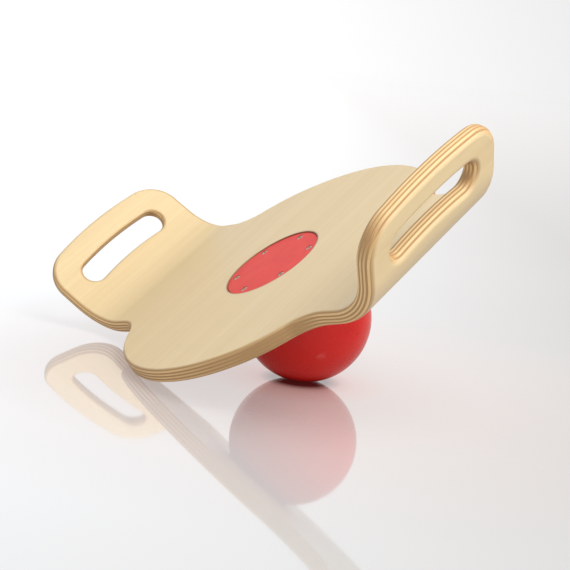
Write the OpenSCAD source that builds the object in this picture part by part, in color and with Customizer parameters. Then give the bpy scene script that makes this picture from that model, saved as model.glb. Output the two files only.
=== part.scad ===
// Balance board: a moulded plywood deck with two hand grips, rocking on a ball held under its middle.
// It stands tipped, as it comes to rest: the ball and one edge of the deck are on the floor.
// The deck's own frame has its top face at z = 0, the grips along x and the lobes along y.

/* [Deck] */
// Thickness of one ply
ply_t = 1.8; // [1.6:0.1:2]
// Half width across the two lobes that the feet stand on
lobe_half_w = 184; // [178:1:190]
// Radius of a lobe's outer edge
lobe_edge_r = 205; // [200:1:215]
// Angle from the middle at which a lobe's edge turns into its shoulder
lobe_edge_deg = 31; // [29:1:34]
// Radius of a lobe's shoulder
shoulder_r = 136; // [128:1:142]
// Radius of the hollow between a lobe and the neck of the deck
hollow_r = 48; // [42:1:52]
// Half width of the neck and of the grips
neck_half_w = 98; // [92:1:102]
// How far the outer plies stand back at the top edge
top_ease = 1.5; // [0.5:0.1:2]
// How far the outer plies stand back at the bottom edge
bottom_ease = 1.2; // [0.5:0.1:2]

/* [Grips] */
// Distance from the middle to the start of the bend
bend_x = 202; // [198:1:212]
// Radius of the bend on the top face
bend_r = 70; // [60:1:80]
// Angle that the grips stand up
grip_deg = 56; // [48:1:62]
// Flat length of a grip above its bend
grip_l = 66; // [64:1:76]
// Radius of the grip's end edge
grip_end_r = 450; // [400:5:520]
// Radius of the grip's corners
grip_corner_r = 40; // [32:1:46]
// Length of the hand slot
slot_l = 128; // [110:1:140]
// Width of the hand slot
slot_w = 29; // [24:1:30]
// Distance from the end of the bend to the middle of the hand slot
slot_up = 20; // [19.5:0.5:24]

/* [Ball] */
// Diameter of the ball
ball_d = 140; // [134:1:148]
// Thickness of the ball's wall
ball_wall = 5; // [4:0.5:7]
// Radius of the neck that rises into the deck
ball_neck_r = 40; // [38:0.5:41]
// Thickness of the ball's clamped flange
flange_t = 3; // [2.5:0.5:3.5]
// Gap between the deck's underside and the ball
ball_gap = 0.7; // [0.4:0.1:1.5]
// Height by which the soft ball is flattened where it stands
ball_flat = 0.7; // [0.4:0.1:0.9]

/* [Cover plate] */
// Diameter of the cover plate
plate_d = 110; // [109:1:116]
// Thickness of the cover plate
plate_t = 4; // [3.5:0.5:4.5]
// How far the plate lies below the deck's top face
plate_recess = 1; // [0.5:0.1:1.5]
// Diameter of the screw circle
screw_circle_d = 93; // [91:0.5:95]

/* [Fit] */
// Clearance of the ball and the plate in the deck, all round
pocket_clear = 0.5; // [0.3:0.1:0.8]
// Clearance round the screws
screw_clear = 0.1; // [0.1:0.05:0.2]

/* [Rest pose] */
// Direction of the low edge, turned from the front towards the left grip
rest_deg = 23; // [0:1:40]

/* [Hidden] */
$fn = 120;
screw_count = 6;
screw_r = 2;
screw_head_r = 3.75;
screw_head_rim = 0.3;
screw_sunk = 0.4;
screw_l = 12;
hex_r = 1.45;
hex_deep = 1.4;
insert_r = 3.2;
insert_l = 7.4;
insert_floor = 0.8;
plate_bevel = 0.5;
valve_r = 4;
valve_head_r = 6;
valve_head_t = 1.5;
valve_sunk = 0.3;
valve_reach = 6;
needle_r = 0.8;
valve_turn = 125;
valve_dip = 12;
cavity_cover = 6;
flange_back = 2;
bend_lap = 2;
grip_spare = 10;

ply_count = 9;
deck_t = ply_count * ply_t;
ball_r = ball_d / 2;
pocket_r = plate_d / 2 + pocket_clear;
seat_depth = plate_recess + plate_t + flange_t;
flange_r = plate_d / 2 - flange_back;
neck_hole_r = ball_neck_r + pocket_clear;
ball_drop = deck_t + ball_gap + sqrt(pow(ball_r, 2) - pow(neck_hole_r, 2));
stand_r = ball_r - ball_flat;
big = 4 * lobe_half_w;

shoulder_x = (lobe_edge_r - shoulder_r) * sin(lobe_edge_deg);
shoulder_y = lobe_half_w - lobe_edge_r + (lobe_edge_r - shoulder_r) * cos(lobe_edge_deg);
hollow_y = neck_half_w + hollow_r;
hollow_x = shoulder_x + sqrt(pow(shoulder_r + hollow_r, 2) - pow(hollow_y - shoulder_y, 2));

grip_arc_x = grip_l - grip_end_r;
corner_y = neck_half_w - grip_corner_r;
corner_x = grip_arc_x + sqrt(pow(grip_end_r - grip_corner_r, 2) - pow(corner_y, 2));
corner_deg = asin(corner_y / (grip_end_r - grip_corner_r));
slot_arc_r = slot_up - grip_arc_x;
slot_half_deg = (slot_l - slot_w) / 2 / slot_arc_r * 180 / PI;

// Reach of the lobe's edge in the direction that is lowest at rest
edge_reach = lobe_edge_r - (lobe_edge_r - lobe_half_w) * cos(rest_deg);
shoulder_reach = shoulder_r + shoulder_x * sin(rest_deg) + shoulder_y * cos(rest_deg);
rest_reach = rest_deg <= lobe_edge_deg ? edge_reach : shoulder_reach;
rest_rise = ball_drop - deck_t;
// Tilt at which a point of the deck that reaches so far, so high above the ball's middle, meets the floor
function tip(reach, rise) = asin(stand_r / norm([reach, rise])) + atan2(rise, reach);
function bend_tip(a, r, y) =
    tip(y * cos(rest_deg) + (bend_x + r * sin(a)) * sin(rest_deg), ball_drop + bend_r - r * cos(a));
bend_tips = [
    for (a = [0 : grip_deg])
        min(bend_tip(a, bend_r + deck_t, neck_half_w - bottom_ease),
            bend_tip(a, bend_r + deck_t - ply_t, neck_half_w))
];
rest_tilt = min(
    tip(rest_reach - bottom_ease, rest_rise),
    tip(rest_reach, rest_rise + ply_t),
    min(bend_tips));

// Puts the deck's frame in the pose in which the board rests on the floor
module rest_pose() {
    translate([0, 0, stand_r])
        rotate(a = rest_tilt, v = [cos(rest_deg), -sin(rest_deg), 0])
            translate([0, 0, ball_drop])
                children();
}

module each_screw() {
    for (i = [0 : screw_count - 1])
        rotate([0, 0, 90 + i * 360 / screw_count])
            translate([screw_circle_d / 2, 0, 0])
                children();
}

// A wedge from a point along x, wide enough to cut any arc here
module wedge(half_deg) {
    polygon([[0, 0], [big, -big * tan(half_deg)], [big, big * tan(half_deg)]]);
}

// One lobe, reaching along +y from the middle of the deck
module lobe(back) {
    intersection() {
        translate([0, lobe_half_w - lobe_edge_r])
            circle(lobe_edge_r - back);
        translate([0, lobe_half_w - lobe_edge_r])
            rotate(90)
                wedge(lobe_edge_deg);
    }
    for (s = [-1, 1]) {
        translate([s * shoulder_x, shoulder_y])
            circle(shoulder_r - back);
        difference() {
            polygon([
                [s * shoulder_x, shoulder_y],
                [s * hollow_x, hollow_y],
                [s * hollow_x, neck_half_w - back],
                [s * shoulder_x, 0]
            ]);
            translate([s * hollow_x, hollow_y])
                circle(hollow_r + back);
        }
    }
}

// What is cut away round the end of a grip, drawn from the end of its bend
module grip_end(back) {
    difference() {
        translate([corner_x, -big / 2])
            square(big);
        for (s = [-1, 1])
            translate([corner_x, s * corner_y])
                circle(grip_corner_r - back);
        intersection() {
            translate([grip_arc_x, 0])
                circle(grip_end_r - back);
            translate([grip_arc_x, 0])
                wedge(corner_deg);
        }
    }
}

// The hand slot, curved about the centre of the grip's end edge
module slot_outline(back) {
    translate([grip_arc_x, 0]) {
        intersection() {
            difference() {
                circle(slot_arc_r + slot_w / 2 + back);
                circle(slot_arc_r - slot_w / 2 - back);
            }
            wedge(slot_half_deg);
        }
        for (s = [-1, 1])
            rotate(s * slot_half_deg)
                translate([slot_arc_r, 0])
                    circle(slot_w / 2 + back);
    }
}

// Carries the middle of a ply's thickness across the line where a bend meets a flat
module bend_joint(inner_r, thick) {
    translate([-bend_lap, -inner_r - thick * 3 / 4])
        square([2 * bend_lap, thick / 2]);
}

// A bend in section about its centre, with the sheet that the grip is cut from
module bend_section(inner_r, thick) {
    intersection() {
        difference() {
            circle(inner_r + thick);
            circle(inner_r);
        }
        translate([0, -big])
            square(big);
        rotate(grip_deg)
            translate([-big, -big])
                square(big);
    }
    bend_joint(inner_r, thick);
    rotate(grip_deg) {
        bend_joint(inner_r, thick);
        translate([0, -inner_r - thick])
            square([grip_l + grip_spare, thick]);
    }
}

// Section through one bent ply between two depths below the top face, along the board
module ply_section(depth, thick) {
    translate([-bend_x, -depth - thick])
        square([2 * bend_x, thick]);
    for (s = [0, 1])
        mirror([s, 0])
            translate([bend_x, bend_r])
                bend_section(bend_r + depth, thick);
}

// Carries a flat outline, drawn from the end of a bend, through the sheet of both grips
module cut_grips() {
    for (s = [0, 1])
        mirror([s, 0, 0])
            translate([bend_x, 0, bend_r])
                rotate([0, -grip_deg, 0])
                    translate([0, 0, -bend_r - 2 * deck_t])
                        linear_extrude(3 * deck_t)
                            children();
}

// Column over the deck's outline, with its necks running on past the grips
module deck_column(back) {
    cube([big, 2 * (neck_half_w - back), big], center = true);
    linear_extrude(4 * deck_t, center = true) {
        lobe(back);
        mirror([0, 1])
            lobe(back);
    }
}

// One bent ply between two depths below the top face
module ply_sheet(depth, thick, back) {
    difference() {
        intersection() {
            rotate([90, 0, 0])
                linear_extrude(big, center = true)
                    ply_section(depth, thick);
            deck_column(back);
        }
        cut_grips() {
            grip_end(back);
            slot_outline(back);
        }
    }
}

function ply_back(i) = i == 0 ? top_ease : i == ply_count - 1 ? bottom_ease : 0;

// One ply, counted from the top, opened for the ball, the plate and the inserts
module ply(i) {
    rest_pose()
        difference() {
            ply_sheet(i * ply_t, ply_t, ply_back(i));
            cylinder(h = 4 * deck_t, r = neck_hole_r, center = true);
            translate([0, 0, -seat_depth])
                cylinder(h = 2 * deck_t, r = pocket_r);
            each_screw()
                translate([0, 0, -seat_depth - insert_l])
                    cylinder(h = 2 * deck_t, r = insert_r);
        }
}

module valve_pose() {
    translate([0, 0, -ball_drop])
        rotate([0, 90 + valve_dip, valve_turn])
            children();
}

// Hollow ball with a neck through the deck and a flange that the cover plate clamps
module ball() {
    color([0.78, 0.1, 0.1])
        difference() {
            rest_pose()
                difference() {
                    union() {
                        difference() {
                            translate([0, 0, -ball_drop])
                                sphere(ball_r);
                            translate([0, 0, -deck_t - ball_gap / 2])
                                cylinder(h = ball_d, r = ball_d);
                        }
                        translate([0, 0, -ball_drop])
                            cylinder(h = ball_drop - seat_depth + flange_t, r = ball_neck_r);
                        translate([0, 0, -seat_depth])
                            cylinder(h = flange_t, r = flange_r);
                    }
                    intersection() {
                        translate([0, 0, -ball_drop])
                            sphere(ball_r - ball_wall);
                        translate([0, 0, flange_t - seat_depth - cavity_cover - 2 * ball_d])
                            cylinder(h = 2 * ball_d, r = ball_d);
                    }
                    each_screw()
                        translate([0, 0, -seat_depth - flange_t])
                            cylinder(h = 3 * flange_t, r = screw_r + screw_clear);
                    valve_pose() {
                        cylinder(h = ball_d, r = valve_r);
                        translate([0, 0, ball_r - valve_sunk - valve_head_t])
                            cylinder(h = ball_d, r = valve_head_r);
                    }
                }
            translate([-big / 2, -big / 2, -big])
                cube(big);
        }
}

// Needle valve that the ball is pumped up through
module valve_plug() {
    color([0.12, 0.12, 0.12])
        rest_pose()
            valve_pose()
                difference() {
                    union() {
                        translate([0, 0, ball_r - ball_wall - valve_reach])
                            cylinder(h = ball_wall + valve_reach - valve_sunk - valve_head_t / 2, r = valve_r);
                        translate([0, 0, ball_r - valve_sunk - valve_head_t])
                            cylinder(h = valve_head_t, r = valve_head_r);
                    }
                    cylinder(h = ball_d, r = needle_r);
                }
}

// Round plate that lies in the deck and holds the ball's flange down
module cover_plate() {
    color([0.9, 0.28, 0.28])
        rest_pose()
            translate([0, 0, -plate_recess - plate_t])
                difference() {
                    rotate_extrude()
                        polygon([
                            [0, 0],
                            [plate_d / 2, 0],
                            [plate_d / 2, plate_t - plate_bevel],
                            [plate_d / 2 - plate_bevel, plate_t],
                            [0, plate_t]
                        ]);
                    each_screw() {
                        translate([0, 0, -plate_t])
                            cylinder(h = 3 * plate_t, r = screw_r + screw_clear);
                        translate([0, 0, plate_t - screw_sunk - screw_head_rim - screw_head_r + screw_r])
                            cylinder(h = screw_head_r - screw_r, r1 = screw_r, r2 = screw_head_r);
                        translate([0, 0, plate_t - screw_sunk - screw_head_rim])
                            cylinder(h = plate_t, r = screw_head_r + screw_clear);
                    }
                }
}

// Countersunk socket screws
module cover_screws() {
    color([0.35, 0.33, 0.32])
        rest_pose()
            translate([0, 0, -plate_recess - screw_sunk])
                each_screw()
                    difference() {
                        rotate_extrude()
                            polygon([
                                [0, 0],
                                [screw_head_r, 0],
                                [screw_head_r, -screw_head_rim],
                                [screw_r, screw_r - screw_head_r - screw_head_rim],
                                [screw_r, -screw_l],
                                [0, -screw_l]
                            ]);
                        translate([0, 0, -hex_deep])
                            cylinder(h = 2 * hex_deep, r = hex_r, $fn = 6);
                    }
}

// Brass inserts pressed into the deck under the screws
module threaded_inserts() {
    color([0.75, 0.6, 0.3])
        rest_pose()
            each_screw()
                translate([0, 0, -seat_depth - insert_l])
                    difference() {
                        cylinder(h = insert_l, r = insert_r);
                        translate([0, 0, insert_floor])
                            cylinder(h = insert_l, r = screw_r + screw_clear);
                    }
}

module light_ply(i) {
    color([0.87, 0.78, 0.62])
        ply(i);
}

module dark_ply(i) {
    color([0.66, 0.5, 0.32])
        ply(i);
}

light_ply(0);  // top_veneer
dark_ply(1);  // cross_ply_1
light_ply(2);  // long_ply_1
dark_ply(3);  // cross_ply_2
light_ply(4);  // core_ply
dark_ply(5);  // cross_ply_3
light_ply(6);  // long_ply_2
dark_ply(7);  // cross_ply_4
light_ply(8);  // bottom_veneer
ball();
valve_plug();
cover_plate();
cover_screws();
threaded_inserts();
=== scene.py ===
"""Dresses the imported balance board: rounded plies, a soft ball, a cover plate, and a studio round them."""
import math

import bmesh
import bpy
from mathutils import Matrix, Vector
from mathutils.geometry import delaunay_2d_cdt


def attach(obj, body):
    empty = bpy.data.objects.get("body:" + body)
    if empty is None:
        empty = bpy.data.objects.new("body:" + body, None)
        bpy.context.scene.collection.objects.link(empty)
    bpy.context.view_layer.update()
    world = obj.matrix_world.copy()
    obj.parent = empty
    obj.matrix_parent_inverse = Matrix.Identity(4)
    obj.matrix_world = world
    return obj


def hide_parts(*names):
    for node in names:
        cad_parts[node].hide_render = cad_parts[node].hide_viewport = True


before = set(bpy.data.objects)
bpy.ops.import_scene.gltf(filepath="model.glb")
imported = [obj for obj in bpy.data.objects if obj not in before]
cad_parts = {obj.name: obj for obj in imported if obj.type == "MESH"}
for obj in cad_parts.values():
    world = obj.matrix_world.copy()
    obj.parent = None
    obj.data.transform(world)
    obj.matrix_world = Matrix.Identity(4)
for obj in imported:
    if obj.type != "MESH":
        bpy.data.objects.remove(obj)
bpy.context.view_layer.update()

MM = 0.001

# Sizes of the board in millimetres and degrees, as in the part's source
PLY_T, PLY_COUNT = 1.8, 9
LOBE_HALF_W, LOBE_EDGE_R, LOBE_EDGE_DEG = 184, 205, 31
SHOULDER_R, HOLLOW_R, NECK_HALF_W = 136, 48, 98
BEND_X, BEND_R, GRIP_DEG = 202, 70, 56
GRIP_L, GRIP_END_R, GRIP_CORNER_R = 66, 450, 40
SLOT_L, SLOT_W, SLOT_UP = 128, 29, 20
BALL_R, BALL_WALL, BALL_NECK_R, BALL_GAP, BALL_FLAT = 70, 5, 40, 0.7, 0.7
PLATE_R, PLATE_T, PLATE_RECESS, PLATE_BEVEL = 55, 4, 1, 0.5
FLANGE_T, FLANGE_R, CLEAR = 3, 53, 0.5
SCREW_CIRCLE_R, SCREW_COUNT = 46.5, 6
SCREW_R, SCREW_HEAD_R, SCREW_HEAD_RIM, SCREW_SUNK, SCREW_CLEAR = 2, 3.75, 0.3, 0.4, 0.1
INSERT_R, INSERT_L = 3.2, 7.4
VALVE_R, VALVE_HEAD_R, VALVE_HEAD_T, VALVE_SUNK = 4, 6, 1.5, 0.3
VALVE_REACH, VALVE_TURN, VALVE_DIP, NEEDLE_R = 6, 125, 12, 0.8
BOTTOM_EASE, REST_DEG = 1.2, 23

# Rounding of the deck's top and bottom edges, which the solids show as plies that stand back.
# It grows from the lobes to the grips between two distances from the middle.
LOBE_ROUND, GRIP_ROUND = (4, 3), (5, 8)
ROUND_FROM, ROUND_TO, ROUND_STEPS = 150, 250, 7

# Small lips and gaps that only the scene has, in millimetres
POCKET_LIP, SINK_LIP, FLANGE_LIP = 0.4, 0.15, 0.6
NEEDLE_L, VALVE_GAP, HOLE_PAST = 3, 0.05, 3

# Sides of round forms, and rows of points on the ball and in a bend
POCKET_SIDES, INSERT_SIDES, SINK_SIDES, PLATE_SIDES = 120, 24, 32, 144
BALL_SIDES, BALL_ROWS, VALVE_SIDES = 144, 60, 48
BEVEL_STEPS, BEND_ROWS, BEND_GAP = 5, 20, 14

DECK_T = PLY_T * PLY_COUNT
POCKET_R = PLATE_R + CLEAR
NECK_HOLE_R = BALL_NECK_R + CLEAR
PLATE_BOTTOM = PLATE_RECESS + PLATE_T
SEAT = PLATE_BOTTOM + FLANGE_T
BALL_DROP = DECK_T + BALL_GAP + math.sqrt(BALL_R**2 - NECK_HOLE_R**2)
BALL_CENTRE = Vector((0, 0, -BALL_DROP)) * MM
STAND_R = BALL_R - BALL_FLAT
VALVE_LIP = BALL_R - VALVE_SUNK
VALVE_SEAT = VALVE_LIP - VALVE_HEAD_T
VALVE_INNER = BALL_R - BALL_WALL - VALVE_REACH
GRIP_START = BEND_X + BEND_R * math.radians(GRIP_DEG)
END_X = GRIP_START + GRIP_L - GRIP_END_R


def rest_pose():
    """The deck's frame, with its top face at z = 0, as it stands on the floor."""
    turn = math.radians(REST_DEG)
    reach = LOBE_EDGE_R - (LOBE_EDGE_R - LOBE_HALF_W) * math.cos(turn)
    rise = BALL_DROP - DECK_T
    corners = ((reach - BOTTOM_EASE, rise), (reach, rise + PLY_T))
    tilt = min(math.asin(STAND_R / math.hypot(x, z)) + math.atan2(z, x) for x, z in corners)
    axis = Vector((math.cos(turn), -math.sin(turn), 0))
    lift = Matrix.Translation((0, 0, STAND_R * MM))
    return lift @ Matrix.Rotation(tilt, 4, axis) @ Matrix.Translation((0, 0, BALL_DROP * MM))


REST = rest_pose()


# Outlines: samples (u, y, nu, ny) on the unrolled top face, with the normal that points out of the wood


def arc(cx, cy, r, start, end, count, out=1):
    """Samples of an arc without its last one; angles run in degrees from +y towards +u."""
    found = []
    for i in range(count):
        angle = math.radians(start + (end - start) * i / count)
        nu, ny = math.sin(angle), math.cos(angle)
        found.append((cx + r * nu, cy + r * ny, out * nu, out * ny))
    return found


def circle(cx, cy, r, count):
    """A round hole, counter-clockwise."""
    found = []
    for i in range(count):
        angle = 2 * math.pi * i / count
        nu, ny = math.cos(angle), math.sin(angle)
        found.append((cx + r * nu, cy + r * ny, -nu, -ny))
    return found


def deck_outline():
    """The whole edge of the deck, clockwise from the top of the back lobe."""
    edge = math.radians(LOBE_EDGE_DEG)
    shoulder_x = (LOBE_EDGE_R - SHOULDER_R) * math.sin(edge)
    shoulder_y = LOBE_HALF_W - LOBE_EDGE_R + (LOBE_EDGE_R - SHOULDER_R) * math.cos(edge)
    hollow_y = NECK_HALF_W + HOLLOW_R
    turn = math.degrees(math.acos((hollow_y - shoulder_y) / (SHOULDER_R + HOLLOW_R)))
    hollow_x = shoulder_x + (SHOULDER_R + HOLLOW_R) * math.sin(math.radians(turn))
    corner_y = NECK_HALF_W - GRIP_CORNER_R
    corner_x = END_X + math.sqrt((GRIP_END_R - GRIP_CORNER_R) ** 2 - corner_y**2)
    last = 90 - math.degrees(math.asin(corner_y / (GRIP_END_R - GRIP_CORNER_R)))

    quarter = arc(0, LOBE_HALF_W - LOBE_EDGE_R, LOBE_EDGE_R, 0, LOBE_EDGE_DEG, count=36)
    quarter += arc(shoulder_x, shoulder_y, SHOULDER_R, LOBE_EDGE_DEG, turn, count=20)
    quarter += arc(hollow_x, hollow_y, HOLLOW_R, 180 + turn, 180, count=22, out=-1)
    straights = ((hollow_x, BEND_X, 4), (BEND_X, GRIP_START, BEND_ROWS), (GRIP_START, corner_x, 6))
    for x0, x1, count in straights:
        quarter += [(x0 + (x1 - x0) * i / count, NECK_HALF_W, 0, 1) for i in range(count)]
    quarter += arc(corner_x, corner_y, GRIP_CORNER_R, 0, last, count=24)
    quarter += arc(END_X, 0, GRIP_END_R, last, 90, count=18)
    quarter.append((END_X + GRIP_END_R, 0, 1, 0))

    half = quarter + [(u, -y, nu, -ny) for u, y, nu, ny in quarter[-2::-1]]
    return half + [(-u, y, -nu, ny) for u, y, nu, ny in half[-2:0:-1]]


def slots():
    """The two curved hand slots, counter-clockwise."""
    mid = SLOT_UP + GRIP_END_R - GRIP_L
    half = SLOT_W / 2
    end = math.degrees((SLOT_L - SLOT_W) / 2 / mid)

    def round_end(at, start):
        """Half circle at one end of the slot's middle line."""
        angle = math.radians(at)
        cx, cy = END_X + mid * math.sin(angle), mid * math.cos(angle)
        return arc(cx, cy, half, start, start - 180, count=20, out=-1)

    right = arc(END_X, 0, mid + half, 90 + end, 90 - end, count=36, out=-1)
    right += round_end(90 - end, 90 - end)
    right += arc(END_X, 0, mid - half, 90 - end, 90 + end, count=36)
    right += round_end(90 + end, 270 + end)
    return [right, [(-u, y, -nu, ny) for u, y, nu, ny in reversed(right)]]


def screw_places():
    """Centres of the screws on their circle."""
    for i in range(SCREW_COUNT):
        angle = math.radians(90 + i * 360 / SCREW_COUNT)
        yield SCREW_CIRCLE_R * math.cos(angle), SCREW_CIRCLE_R * math.sin(angle)


def bend_points():
    """Points inside the bends, so that their faces curve, but none close to a hand slot."""
    edge = NECK_HALF_W - BEND_GAP
    clear_u, clear_y = 5, SLOT_L / 2 + 12
    found = []
    for i in range(BEND_ROWS + 1):
        before = (GRIP_START - BEND_X) * (1 - i / BEND_ROWS)
        for y in range(-edge, edge + 1, BEND_GAP):
            if before > clear_u or abs(y) > clear_y:
                found += [(GRIP_START - before, y), (before - GRIP_START, y)]
    return found


OUTLINE, SLOTS, INNER = deck_outline(), slots(), bend_points()


def place(u, y, depth):
    """A point of the unrolled deck in the deck's frame, and the angle that the sheet has turned there."""
    side, far = math.copysign(1, u), max(abs(u) - BEND_X, 0)
    angle = min(far / BEND_R, math.radians(GRIP_DEG))
    flat = far - BEND_R * angle
    x = min(abs(u), BEND_X) + (BEND_R + depth) * math.sin(angle) + flat * math.cos(angle)
    z = BEND_R - (BEND_R + depth) * math.cos(angle) + flat * math.sin(angle)
    return Vector((side * x, y, z)), side * angle


# Forms cut from the bent sheet


def alike(samples, rows):
    """A loop with the same wall all round."""
    return samples, [rows] * len(samples)


def wall_slope(upper, lower, own):
    """Slope of a wall between two rows: one row's own, or that of the straight line if a row is sharp."""
    if upper[2] is None or lower[2] is None:
        return (upper[1] - lower[1]) / math.hypot(lower[0] - upper[0], lower[1] - upper[1])
    return own[2]


def covers(samples, triangle):
    """Whether the middle of a triangle lies within a closed outline."""
    x, y = (sum(c) / 3 for c in zip(*triangle))
    crossed = False
    for (x0, y0, _, _), (x1, y1, _, _) in zip(samples, samples[1:] + samples[:1]):
        if (y0 > y) != (y1 > y) and x < x0 + (x1 - x0) * (y - y0) / (y1 - y0):
            crossed = not crossed
    return crossed


def fill(outlines, inner):
    """Triangles between the first outline and the others, and the flat points that they refer to."""
    flat, edges, rims = [], [], []
    for samples in outlines:
        first, count = len(flat), len(samples)
        rims.append(range(first, first + count))
        flat += [(u, y) for u, y, _, _ in samples]
        edges += [(first + i, first + (i + 1) % count) for i in range(count)]
    flat += inner
    inside_only, same_point = 1, 1e-6
    filled = delaunay_2d_cdt([Vector(p) for p in flat], edges, [], inside_only, same_point)
    triangles = [[filled[3][v][0] for v in triangle] for triangle in filled[2]]
    for samples, rim in zip(outlines[1:], rims[1:]):
        kept = []
        for triangle in triangles:
            on_rim = all(v in rim for v in triangle)
            if not (on_rim and covers(samples, [flat[v] for v in triangle])):
                kept.append(triangle)
        triangles = kept
    return triangles, flat


class Slab:
    """A form cut from the bent sheet, with exact normals and what the wood grain is drawn from."""

    def __init__(self):
        self.points, self.faces, self.normals = [], [], []
        self.flat, self.edge = [], []

    def point(self, u, y, depth):
        """Adds a point of the unrolled sheet, and gives its number."""
        self.points.append(place(u, y, depth)[0] * MM)
        self.flat.append((u * MM, y * MM, -depth * MM))
        return len(self.points) - 1

    def wall_corner(self, sample, slope):
        """Adds the normal and the edge value at one corner of a wall's face."""
        u, y, nu, ny = sample
        turn = place(u, y, 0)[1]
        level = math.sqrt(max(1 - slope * slope, 0))
        self.edge.append((abs(nu) * level, abs(ny) * level, level))
        self.normals.append((
            level * nu * math.cos(turn) - slope * math.sin(turn),
            level * ny,
            level * nu * math.sin(turn) + slope * math.cos(turn),
        ))

    def wall(self, samples, walls):
        """Adds the wall along an outline, with rows of (depth, inset, slope) at each sample, from the top.
        The slope is the normal's share along the sheet's own normal, or None for a sharp row.
        Gives the outline with its highest points, and with its lowest."""
        rings = []
        for rows in zip(*walls):
            ring = []
            for (u, y, nu, ny), (depth, inset, _) in zip(samples, rows):
                ring.append(self.point(u - nu * inset, y - ny * inset, depth))
            rings.append(ring)
        for k, (high, low) in enumerate(zip(rings, rings[1:])):
            for i in range(len(samples)):
                j = (i + 1) % len(samples)
                self.faces.append([high[i], high[j], low[j], low[i]])
                for at, row in ((i, k), (j, k), (j, k + 1), (i, k + 1)):
                    slope = wall_slope(walls[at][k], walls[at][k + 1], walls[at][row])
                    self.wall_corner(samples[at], slope)
        return (samples, rings[0]), (samples, rings[-1])

    def cap(self, loops, up, depth=0, inner=()):
        """Closes the sheet inside the first of some (outline, points) and outside the others.
        It faces up with 1 and down with -1, and the inner points lie at the depth given."""
        triangles, flat = fill([samples for samples, _ in loops], inner)
        index = [v for _, points in loops for v in points]
        index += [self.point(u, y, depth) for u, y in inner]
        for triangle in triangles:
            corners = triangle[::up]
            self.faces.append([index[v] for v in corners])
            for v in corners:
                turn = place(*flat[v], 0)[1]
                self.normals.append((-up * math.sin(turn), 0, up * math.cos(turn)))
                self.edge.append((0, 0, 0))

    def show(self, name, material, node, slot):
        """Makes the piece, and stores where its points lie on the sheet and which way its walls face."""
        piece = show(name, self.points, self.faces, self.normals, material, node)
        for key, values, domain in (("flat", self.flat, "POINT"), ("edge", self.edge, "CORNER")):
            data = piece.data.attributes.new(key, "FLOAT_VECTOR", domain).data
            data.foreach_set("vector", [c for v in values for c in v])


def show(name, points, faces, normals, material, node):
    """Makes a piece of the board that stands for a CAD node."""
    mesh = bpy.data.meshes.new(name)
    mesh.from_pydata([REST @ p for p in points], [], faces)
    mesh.polygons.foreach_set("use_smooth", [True] * len(mesh.polygons))
    turn = REST.to_3x3()
    mesh.normals_split_custom_set([(turn @ Vector(n)).normalized() for n in normals])
    mesh.materials.append(material)
    piece = bpy.data.objects.new(name, mesh)
    bpy.context.scene.collection.objects.link(piece)
    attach(piece, "root")
    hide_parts(node)
    return piece


# Materials


class Nodes:
    """A material with a Principled shader, and short calls that add to it."""

    def __init__(self, name, **values):
        self.material = bpy.data.materials.new(name)
        self.material.use_nodes = True
        self.tree = self.material.node_tree
        self.shader = self.tree.nodes["Principled BSDF"]
        for key, value in values.items():
            self.shader.inputs[key.replace("_", " ")].default_value = value

    def add(self, kind, out=0, settings=None, **inputs):
        """Adds a node and gives one of its outputs; inputs go by name, or by number as i0, i1 and so on."""
        node = self.tree.nodes.new("ShaderNode" + kind)
        for key, value in (settings or {}).items():
            setattr(node, key, value)
        for key, value in inputs.items():
            numbered = key[0] == "i" and key[1:].isdigit()
            socket = node.inputs[int(key[1:]) if numbered else key]
            if isinstance(value, bpy.types.NodeSocket):
                self.tree.links.new(value, socket)
            else:
                socket.default_value = value
        return node.outputs[out]

    def attribute(self, name):
        return self.add("Attribute", "Vector", {"attribute_name": name})

    def parts(self, vector):
        split = self.add("SeparateXYZ", Vector=vector).node
        return split.outputs[0], split.outputs[1], split.outputs[2]

    def noise(self, vector, scale, detail=2.0, rough=0.5, distort=0.0):
        spread = self.add("Mapping", Vector=vector, Scale=scale)
        return self.add(
            "TexNoise", Vector=spread, Scale=1.0, Detail=detail, Roughness=rough, Distortion=distort
        )

    def fit(self, value, low, high, to_low=0.0, to_high=1.0):
        """Maps low and high to two other values, and holds them outside that range."""
        return self.add("MapRange", i0=value, i1=low, i2=high, i3=to_low, i4=to_high)

    def math(self, what, a, b=0.0):
        return self.add("Math", 0, {"operation": what}, i0=a, i1=b)

    def measure(self, what, vector, other=(0, 0, 0)):
        """A length, a distance or a dot product."""
        return self.add("VectorMath", "Value", {"operation": what}, i0=vector, i1=other)

    def mix(self, factor, a, b):
        return self.add("Mix", 2, {"data_type": "RGBA"}, i0=factor, i6=a, i7=b)

    def bump(self, height, strength, distance):
        return self.add("Bump", Height=height, Strength=strength, Distance=distance)

    def use(self, **sockets):
        """Links values to the shader, and gives the finished material."""
        for key, value in sockets.items():
            self.tree.links.new(value, self.shader.inputs[key.replace("_", " ")])
        return self.material


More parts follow.
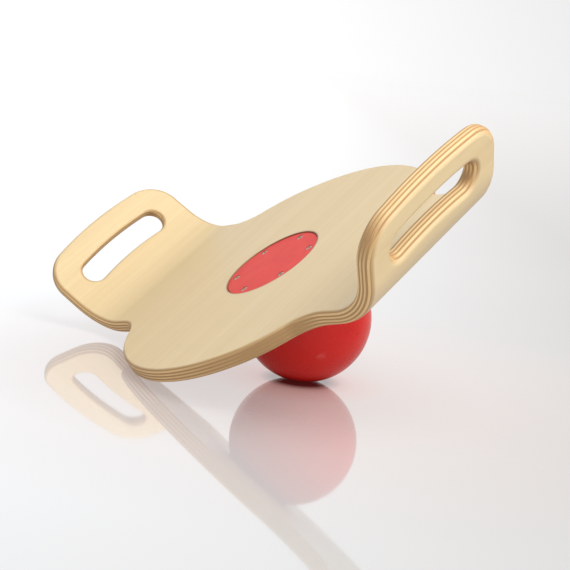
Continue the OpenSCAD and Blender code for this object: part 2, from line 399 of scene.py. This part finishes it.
def birch(name, cross, pale, streak, end_tone, rim_tone):
    """Lacquered birch ply: grain across the board, or along it for the cross plies.
    Where the grain is cut off, the middle of the ply has the end tone and its faces the rim tone."""
    look = Nodes(name, Coat_Roughness=0.38, IOR=1.45)
    flat, edge = look.attribute("flat"), look.attribute("edge")
    along_u, along_y, wall = look.parts(edge)
    end = look.fit(along_u if cross else along_y, 0.08, 0.65)

    def grain(across, along, depth):
        return (along, across, depth) if cross else (across, along, depth)

    # Grain of the face, from broad bands to single fibres
    bands = look.noise(flat, grain(30, 1.2, 30), 3.0, 0.55, 0.4)
    figure = look.noise(flat, grain(210, 2.4, 210), 3.0, 0.6, 0.8)
    fibre = look.noise(flat, grain(1100, 11, 900), 4.0, 0.6)
    fleck = look.noise(flat, grain(1500, 120, 1500), 1.0, 0.5)
    tone = look.math("ADD", look.math("MULTIPLY", bands, 0.3), look.math("MULTIPLY", figure, 0.4))
    tone = look.math("ADD", tone, look.math("MULTIPLY", fibre, 0.3))
    colour = look.mix(look.fit(tone, 0.3, 0.7), streak, pale)
    colour = look.mix(look.fit(fleck, 0.63, 0.75, 0.0, 0.3), colour, streak)

    # Cut ends of the fibres, where a wall runs across the grain
    _, _, height = look.parts(flat)
    across = look.math("SUBTRACT", look.math("FRACT", look.math("DIVIDE", height, PLY_T * MM)), 0.5)
    across = look.math("ABSOLUTE", across)
    pores = look.noise(flat, (1600, 1600, 1300), 2.0, 0.6)
    pore_tone = tuple(0.6 * c for c in end_tone[:3]) + (1,)
    cut = look.mix(look.fit(across, 0.2, 0.46), end_tone, rim_tone)
    cut = look.mix(look.fit(pores, 0.4, 0.75, 0.0, 0.45), cut, pore_tone)
    colour = look.mix(end, colour, cut)

    # Glue lines between the plies, and painted shade round the plate for the dark gap there
    glue = look.math("MULTIPLY", look.fit(across, 0.44, 0.5, 0.0, 0.35), wall)
    colour = look.mix(glue, colour, (0.2, 0.1, 0.045, 1))
    out = look.measure("LENGTH", flat)
    # Painted shade: a dark band on the wood round the plate's pocket
    painted_gap_shade = look.fit(out, (POCKET_R + 1.0) * MM, (POCKET_R + 2.0) * MM, 0.8, 0.0)
    colour = look.mix(painted_gap_shade, colour, (0.24, 0.075, 0.04, 1))

    rough = look.math("ADD", look.fit(fibre, 0.3, 0.7, 0.42, 0.54), look.math("MULTIPLY", wall, 0.16))
    lacquer = look.fit(wall, 0.0, 0.5, 0.4, 0.08)
    relief = look.math("SUBTRACT", fibre, look.math("MULTIPLY", look.fit(fleck, 0.6, 0.75), 0.5))
    bump = look.bump(relief, 0.12, 0.0003)
    return look.use(Base_Color=colour, Roughness=rough, Coat_Weight=lacquer, Normal=bump)


def red_skin():
    """Soft red vinyl with a fine moulded grain."""
    look = Nodes("ball_skin", IOR=1.35)
    where = look.add("TexCoord", "Object")
    cloud = look.noise(where, (22, 22, 22), 3.0, 0.55)
    grain = look.noise(where, (900, 900, 900), 3.0, 0.6)
    scuff = look.noise(where, (160, 60, 90), 4.0, 0.7)
    colour = look.mix(look.fit(cloud, 0.3, 0.7), (0.53, 0.014, 0.011, 1), (0.60, 0.017, 0.013, 1))
    colour = look.mix(look.fit(scuff, 0.62, 0.8, 0.0, 0.22), colour, (0.6, 0.03, 0.028, 1))
    rough = look.fit(scuff, 0.3, 0.75, 0.22, 0.31)
    return look.use(Base_Color=colour, Roughness=rough, Normal=look.bump(grain, 0.06, 0.0001))


def red_plate():
    """Bare moulded plate: fine spark texture, paler where it has been rubbed, and painted shade on the bevel
    and side of its rim.
    """
    look = Nodes("plate_red", IOR=1.28)
    flat = look.attribute("flat")
    _, _, wall = look.parts(look.attribute("edge"))
    cloud = look.noise(flat, (35, 35, 35), 3.0, 0.55)
    spark = look.noise(flat, (1400, 1400, 1400), 2.0, 0.6)
    rub = look.noise(flat, (420, 30, 60), 4.0, 0.7)
    colour = look.mix(look.fit(cloud, 0.3, 0.7), (0.60, 0.034, 0.028, 1), (0.66, 0.044, 0.035, 1))
    colour = look.mix(look.fit(rub, 0.6, 0.8, 0.0, 0.2), colour, (0.7, 0.12, 0.10, 1))
    # Painted shade on the rim's bevel and side, for the dark gap round the plate
    colour = look.mix(look.fit(wall, 0.2, 0.7), colour, (0.16, 0.02, 0.014, 1))
    rough = look.fit(rub, 0.3, 0.75, 0.36, 0.5)
    return look.use(Base_Color=colour, Roughness=rough, Normal=look.bump(spark, 0.12, 0.0002))


def black_rubber():
    """Dull black rubber with a little dust."""
    look = Nodes("valve_rubber", IOR=1.5)
    where = look.add("TexCoord", "Object")
    grain = look.noise(where, (1500, 1500, 1500), 3.0, 0.6)
    dust = look.noise(where, (400, 400, 400), 3.0, 0.6)
    colour = look.mix(look.fit(dust, 0.45, 0.75), (0.012, 0.012, 0.013, 1), (0.035, 0.034, 0.033, 1))
    rough = look.fit(dust, 0.3, 0.7, 0.5, 0.7)
    return look.use(Base_Color=colour, Roughness=rough, Normal=look.bump(grain, 0.2, 0.0002))


def metal(name, dark, light, smooth, dull):
    """Machined metal: fine turning marks and a little tarnish."""
    look = Nodes(name, Metallic=1.0)
    where = look.add("TexCoord", "Object")
    marks = look.noise(where, (700, 700, 4200), 2.0, 0.6)
    tarnish = look.noise(where, (500, 500, 500), 4.0, 0.65)
    colour = look.mix(look.fit(tarnish, 0.35, 0.7), dark, light)
    rough = look.fit(marks, 0.3, 0.7, smooth, dull)
    return look.use(Base_Color=colour, Roughness=rough, Normal=look.bump(marks, 0.08, 0.0001))


def white_table():
    """Polished white table top that glows, with painted light in its glow and colour.
    The glow is brighter to the camera's left, and round the ball's foot it has a painted red reflection of
    the ball and a painted shadow."""
    camera_left, painted_shadow_spot = (-0.64, -0.76, 0), (-0.064, -0.076, 0)
    # Dark red painted shade at the ball's foot, for the table's colour and for its glow
    painted_foot_shade, painted_foot_shade_glow = (0.06, 0.006, 0.006, 1), (0.045, 0.007, 0.007, 1)
    look = Nodes("white_table", IOR=1.8, Coat_Weight=0.5, Coat_Roughness=0.03, Coat_IOR=1.6)
    where = look.add("TexCoord", "Object")
    left = look.measure("DOT_PRODUCT", where, camera_left)
    out = look.measure("LENGTH", where)
    under = look.measure("DISTANCE", where, painted_shadow_spot)
    cloud = look.noise(where, (1.3, 1.3, 1.3), 2.0, 0.5)
    smear = look.noise(where, (9, 9, 9), 3.0, 0.6)

    colour = look.mix(look.fit(cloud, 0.35, 0.65), (0.20, 0.195, 0.19, 1), (0.22, 0.215, 0.21, 1))
    # Painted shade: the table's own colour turns dark red close to the ball's foot
    colour = look.mix(look.fit(out, 0.03, 0.06, 1.0, 0.0), colour, painted_foot_shade)

    # Painted light: the glow is brighter to the camera's left, has a painted red reflection near the ball
    # and a painted shadow at its foot
    # The glow, from the wide table to the ball's foot
    glow = look.mix(look.fit(left, -0.6, 0.35), (0.17, 0.15, 0.14, 1), (0.48, 0.505, 0.535, 1))
    glow = look.mix(look.fit(out, 0.05, 0.5, 0.75, 0.0), glow, (0.40, 0.29, 0.27, 1))
    glow = look.mix(look.fit(out, 0.045, 0.1, 0.6, 0.0), glow, (0.43, 0.18, 0.16, 1))
    glow = look.mix(look.fit(out, 0.029, 0.046), painted_foot_shade_glow, glow)
    # Painted shadow of the board round a spot beside the ball's foot, and the glow fading far away
    shade = look.math("MULTIPLY", look.fit(under, 0.05, 0.3, 0.76, 1.0), look.fit(out, 3, 20, 1.0, 0.3))

    rough = look.fit(smear, 0.3, 0.7, 0.03, 0.06)
    return look.use(Base_Color=colour, Emission_Color=glow, Emission_Strength=shade, Roughness=rough)


FACE_PALE, FACE_STREAK = (0.66, 0.53, 0.32, 1), (0.57, 0.425, 0.23, 1)
LONG_PALE, LONG_STREAK, LONG_END = (0.68, 0.505, 0.27, 1), (0.57, 0.395, 0.20, 1), (0.43, 0.25, 0.10, 1)
CROSS_PALE, CROSS_STREAK, CROSS_END = (0.82, 0.58, 0.29, 1), (0.70, 0.47, 0.22, 1), (0.36, 0.20, 0.085, 1)
veneer = birch("face_veneer", False, FACE_PALE, FACE_STREAK, LONG_END, LONG_END)
long_ply = birch("long_ply", False, LONG_PALE, LONG_STREAK, LONG_END, LONG_END)
cross_ply = birch("cross_ply", True, CROSS_PALE, CROSS_STREAK, CROSS_END, LONG_STREAK)
steel = metal("screw_steel", (0.58, 0.42, 0.34, 1), (0.72, 0.55, 0.46, 1), smooth=0.3, dull=0.45)
brass = metal("insert_brass", (0.42, 0.27, 0.09, 1), (0.68, 0.48, 0.19, 1), smooth=0.25, dull=0.4)


# The deck's nine plies


def rounding(u):
    """Radii of the deck's top and bottom edge at a distance along the board."""
    share = min(max((abs(u) - ROUND_FROM) / (ROUND_TO - ROUND_FROM), 0), 1)
    share = share * share * (3 - 2 * share)
    return [lobe + (grip - lobe) * share for lobe, grip in zip(LOBE_ROUND, GRIP_ROUND)]


def edge_walls(samples, top, bottom):
    """Walls down the rounded edge of the deck between two depths."""
    steps = {top, bottom}
    for top_r, bottom_r in (LOBE_ROUND, GRIP_ROUND):
        for i in range(ROUND_STEPS + 1):
            rise = 1 - math.sin(math.radians(90 * i / ROUND_STEPS))
            steps |= {top_r * rise, DECK_T - bottom_r * rise}
    steps = sorted(depth for depth in steps if top <= depth <= bottom)
    walls = []
    for u, _, _, _ in samples:
        top_r, bottom_r = rounding(u)
        rows = []
        for depth in steps:
            slope, r = max(top_r - depth, 0) / top_r, top_r
            if depth > top_r:
                slope, r = min(DECK_T - bottom_r - depth, 0) / bottom_r, bottom_r
            rows.append((depth, r * (1 - math.sqrt(max(1 - slope**2, 0))), slope))
        walls.append(rows)
    return walls


def deck_holes():
    """Round holes in the deck, with the depths at which they start and end; the plate's pocket is first."""
    yield circle(0, 0, POCKET_R, POCKET_SIDES), 0, SEAT
    yield circle(0, 0, NECK_HOLE_R, POCKET_SIDES), SEAT, DECK_T
    for x, y in screw_places():
        yield circle(x, y, INSERT_R, INSERT_SIDES), SEAT, SEAT + INSERT_L


def make_ply(name, number, material, slot):
    """One ply, counted from the top.
    Where it reaches them, it has the ledge under the ball's flange and the floors of the blind holes."""
    slab = Slab()
    top, bottom = number * PLY_T, (number + 1) * PLY_T
    upper, lower, ledge = [], [], []
    for samples in (OUTLINE, *SLOTS):
        high, low = slab.wall(samples, edge_walls(samples, top, bottom))
        upper.append(high)
        lower.append(low)
    for samples, start, end in deck_holes():
        first, last = max(start, top), min(end, bottom)
        if first >= last:
            continue
        rows = [(first, 0, None), (last, 0, None)]
        if first == 0:
            rows = [(0, POCKET_LIP, None), (POCKET_LIP, 0, None), (last, 0, None)]
        high, low = slab.wall(*alike(samples, rows))
        if start <= top:
            upper.append(high)
        else:
            ledge.append(high)
        if end >= bottom:
            lower.append(low)
        elif end == SEAT:
            ledge.append(low)
        else:
            slab.cap([low], 1)
    slab.cap(upper, 1, top, INNER)
    slab.cap(lower, -1, bottom, INNER)
    if ledge:
        slab.cap(ledge, 1)
    slab.show(name + "_wood", material, name, slot)


PLIES = [
    ("top_veneer", veneer, "face_veneer"),
    ("cross_ply_1", cross_ply, "cross_ply"),
    ("long_ply_1", long_ply, "long_ply"),
    ("cross_ply_2", cross_ply, "cross_ply"),
    ("core_ply", long_ply, "long_ply"),
    ("cross_ply_3", cross_ply, "cross_ply"),
    ("long_ply_2", long_ply, "long_ply"),
    ("cross_ply_4", cross_ply, "cross_ply"),
    ("bottom_veneer", veneer, "face_veneer"),
]


# The cover plate


def make_plate():
    """Round plate with a rounded rim and countersunk holes."""
    rim = [(u, y, -nu, -ny) for u, y, nu, ny in reversed(circle(0, 0, PLATE_R, PLATE_SIDES))]
    rim_rows = []
    for i in range(BEVEL_STEPS + 1):
        angle = math.radians(90 - 90 * i / BEVEL_STEPS)
        depth = PLATE_RECESS + PLATE_BEVEL * (1 - math.sin(angle))
        rim_rows.append((depth, PLATE_BEVEL * (1 - math.cos(angle)), math.sin(angle)))
    rim_rows.append((PLATE_BOTTOM, 0, 0))

    head, shank = SCREW_HEAD_R + SCREW_CLEAR, SCREW_R + SCREW_CLEAR
    cone = PLATE_RECESS + SCREW_SUNK + SCREW_HEAD_RIM
    sink_rows = [
        (PLATE_RECESS, SINK_LIP, None),
        (PLATE_RECESS + SINK_LIP, 0, None),
        (cone, 0, None),
        (cone + head - shank, shank - head, None),
        (PLATE_BOTTOM, shank - head, None),
    ]

    plate = Slab()
    walls = [plate.wall(*alike(rim, rim_rows))]
    for x, y in screw_places():
        walls.append(plate.wall(*alike(circle(x, y, head, SINK_SIDES), sink_rows)))
    plate.cap([high for high, _ in walls], 1)
    plate.cap([low for _, low in walls], -1)
    plate.show("cover_plate_face", red_plate(), "cover_plate", "plate_red")


# The ball and its valve


def lathe(profile, count):
    """Points and faces of a closed turned form.
    The profile has (radius, height), from the axis and back to it."""
    points, faces, rings = [], [], []
    for r, z in profile:
        turns = count if r > 0 else 1
        rings.append(range(len(points), len(points) + turns))
        for i in range(turns):
            angle = 2 * math.pi * i / count
            points.append(Vector((r * math.cos(angle), r * math.sin(angle), z)) * MM)
    for low, high in zip(rings, rings[1:]):
        for i in range(count):
            j = (i + 1) % count
            corners = [low[i % len(low)], low[j % len(low)], high[j % len(high)], high[i % len(high)]]
            faces.append(list(dict.fromkeys(corners))[::-1])
    return points, faces


def corner_normals(points, faces, smooth=None):
    """Normals at the corners of each face: the face's own, or what smooth(point, normal) makes of it."""
    mesh = bpy.data.meshes.new("scratch")
    mesh.from_pydata(points, [], faces)
    found = []
    for face, polygon in zip(faces, mesh.polygons):
        normal = polygon.normal.copy()
        for v in face:
            found.append(smooth(points[v], normal) if smooth else normal)
    bpy.data.meshes.remove(mesh)
    return found


def cut_out(points, faces, tool_points, tool_faces):
    """The form with the tool's shape taken out of it."""
    made = []
    for name, p, f in (("form", points, faces), ("tool", tool_points, tool_faces)):
        mesh = bpy.data.meshes.new(name)
        mesh.from_pydata(p, [], f)
        made.append(bpy.data.objects.new(name, mesh))
        bpy.context.scene.collection.objects.link(made[-1])
    cut = made[0].modifiers.new("cut", "BOOLEAN")
    cut.operation, cut.object, cut.solver = "DIFFERENCE", made[1], "EXACT"
    done = made[0].evaluated_get(bpy.context.evaluated_depsgraph_get()).to_mesh()
    found = [v.co.copy() for v in done.vertices], [list(p.vertices) for p in done.polygons]
    for obj in made:
        mesh = obj.data
        bpy.data.objects.remove(obj)
        bpy.data.meshes.remove(mesh)
    return found


def valve_turned(profile):
    """A turned form on the valve's axis, which runs out of the ball's centre."""
    swing = Matrix.Rotation(math.radians(VALVE_TURN), 4, "Z")
    dip = Matrix.Rotation(math.radians(90 + VALVE_DIP), 4, "Y")
    axis = Matrix.Translation((0, 0, -BALL_DROP * MM)) @ (swing @ dip)
    points, faces = lathe(profile, VALVE_SIDES)
    return [axis @ p for p in points], faces


def ball_form():
    """Flange, neck and ball as one skin, pressed flat on the floor."""
    top = -PLATE_BOTTOM
    start = math.degrees(math.asin(BALL_NECK_R / BALL_R))
    profile = [
        (0, top),
        (FLANGE_R - FLANGE_LIP, top),
        (FLANGE_R, top - FLANGE_LIP),
        (FLANGE_R, top - FLANGE_T),
        (BALL_NECK_R, top - FLANGE_T),
    ]
    for i in range(BALL_ROWS):
        angle = math.radians(start + (180 - start) * i / BALL_ROWS)
        profile.append((BALL_R * math.sin(angle), -BALL_DROP + BALL_R * math.cos(angle)))
    profile.append((0, -BALL_DROP - BALL_R))
    points, faces = lathe(profile, BALL_SIDES)
    from_floor = REST.inverted()
    for i, point in enumerate(points):
        at_rest = REST @ point
        if at_rest.z < 0:
            points[i] = from_floor @ Vector((at_rest.x, at_rest.y, 0))
    return points, faces


def ball_round(point, normal):
    """The ball's own normal at a point on it, and the face's elsewhere."""
    near, aligned = 2e-5, 0.98
    out = point - BALL_CENTRE
    on_ball = abs(out.length - BALL_R * MM) < near and out.normalized().dot(normal) > aligned
    return out.normalized() if on_ball else normal


def make_ball():
    """The ball with the hole that its valve sits in."""
    hole = [
        (0, BALL_R + HOLE_PAST),
        (VALVE_HEAD_R, BALL_R + HOLE_PAST),
        (VALVE_HEAD_R, VALVE_SEAT),
        (VALVE_R, VALVE_SEAT),
        (VALVE_R, VALVE_INNER),
        (0, VALVE_INNER),
    ]
    points, faces = cut_out(*ball_form(), *valve_turned(hole))
    normals = corner_normals(points, faces, ball_round)
    show("ball_skin", points, faces, normals, red_skin(), "ball")


def make_valve():
    """Plug with a rounded head, and the mouth of the needle's hole in it."""
    head, stem = VALVE_HEAD_R - VALVE_GAP, VALVE_R - VALVE_GAP
    profile = [
        (0, VALVE_LIP - NEEDLE_L),
        (NEEDLE_R, VALVE_LIP - NEEDLE_L),
        (NEEDLE_R, VALVE_LIP - 0.5),
        (NEEDLE_R + 0.5, VALVE_LIP - 0.1),
        (NEEDLE_R + 1.2, VALVE_LIP),
        (head - 0.65, VALVE_LIP),
        (head - 0.2, VALVE_LIP - 0.15),
        (head, VALVE_LIP - 0.6),
        (head, VALVE_SEAT),
        (stem, VALVE_SEAT),
        (stem, VALVE_INNER + 0.5),
        (stem - 0.75, VALVE_INNER),
        (0, VALVE_INNER),
    ]
    points, faces = valve_turned(profile)
    normals = corner_normals(points, faces)
    show("valve_rubber_plug", points, faces, normals, black_rubber(), "valve_plug")


# Floor, light and camera


def make_floor():
    """Round white table top, wide enough to fill every view."""
    form = bmesh.new()
    bmesh.ops.create_circle(form, cap_ends=True, segments=96, radius=30)
    mesh = bpy.data.meshes.new("floor")
    form.to_mesh(mesh)
    form.free()
    mesh.materials.append(white_table())
    floor = bpy.data.objects.new("floor", mesh)
    bpy.context.scene.collection.objects.link(floor)


def make_light(name, direction, distance, size, energy, colour, mirrored):
    """Round soft light that faces the board, with or without its own mirror image in what shines."""
    board_middle = Vector((0, 0, 0.15))
    lamp = bpy.data.lights.new(name, "AREA")
    lamp.shape, lamp.size = "DISK", size
    lamp.energy, lamp.color = energy, colour
    light = bpy.data.objects.new(name, lamp)
    bpy.context.scene.collection.objects.link(light)
    away = Vector(direction).normalized()
    light.location = away * distance + board_middle
    light.rotation_euler = away.to_track_quat("Z", "Y").to_euler()
    light.visible_glossy = mirrored


def make_world(horizon, zenith, dim, dim_side):
    """White surroundings that grow dimmer towards the ceiling and towards one side."""
    world = bpy.data.worlds.new("studio")
    world.use_nodes = True
    nodes, links = world.node_tree.nodes, world.node_tree.links

    def fade(source, span, start, end):
        node = nodes.new("ShaderNodeMapRange")
        node.inputs["From Max"].default_value = span
        node.inputs["To Min"].default_value = start
        node.inputs["To Max"].default_value = end
        links.new(source, node.inputs["Value"])
        return node.outputs[0]

    def towards(direction):
        node = nodes.new("ShaderNodeVectorMath")
        node.operation = "DOT_PRODUCT"
        node.inputs[1].default_value = Vector(direction).normalized()
        links.new(where.outputs["Generated"], node.inputs[0])
        return node.outputs["Value"]

    where = nodes.new("ShaderNodeTexCoord")
    level = nodes.new("ShaderNodeMath")
    level.operation = "MULTIPLY"
    links.new(fade(towards((0, 0, 1)), span=1, start=horizon, end=zenith), level.inputs[0])
    links.new(fade(towards(dim_side), span=0.5, start=1, end=dim), level.inputs[1])
    back = nodes["Background"]
    back.inputs["Color"].default_value = (1, 1, 1, 1)
    links.new(level.outputs[0], back.inputs["Strength"])
    bpy.context.scene.world = world


def make_camera(at, aim, roll, lens):
    """Camera of the photograph, turned a little about its own axis."""
    data = bpy.data.cameras.new("camera")
    data.lens = lens
    data.sensor_width = 36
    camera = bpy.data.objects.new("camera", data)
    bpy.context.scene.collection.objects.link(camera)
    facing = (Vector(aim) - Vector(at)).to_track_quat("-Z", "Y").to_matrix().to_4x4()
    camera.matrix_world = Matrix.Translation(at) @ facing @ Matrix.Rotation(math.radians(roll), 4, "Z")
    bpy.context.scene.camera = camera


# The whole scene

for number, (name, material, slot) in enumerate(PLIES):
    make_ply(name, number, material, slot)
make_plate()
make_ball()
make_valve()
for name, material in (("cover_screws", steel), ("threaded_inserts", brass)):
    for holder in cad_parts[name].material_slots:
        holder.material = material

SUN_WHITE, SOFT_WHITE = (1.0, 0.97, 0.91), (1.0, 0.98, 0.95)
make_floor()
make_world(horizon=1.02, zenith=0.65, dim=0.6, dim_side=(0.66, 0.75, 0))
make_light("key", (0.57, 0.06, 0.82), distance=2.6, size=2.0, energy=60, colour=SUN_WHITE, mirrored=False)
make_light("glint", (0.62, 0.07, 0.78), distance=2.5, size=0.5, energy=16, colour=SUN_WHITE, mirrored=True)
make_light("fill", (0.85, 0.1, 0.25), distance=2.6, size=2.4, energy=27, colour=SOFT_WHITE, mirrored=False)
make_camera(at=(1.0856, -0.9878, 0.3495), aim=(-0.025, -0.0141, 0.1), roll=6.33, lens=87.4)
bpy.context.scene.view_settings.view_transform = "Standard"
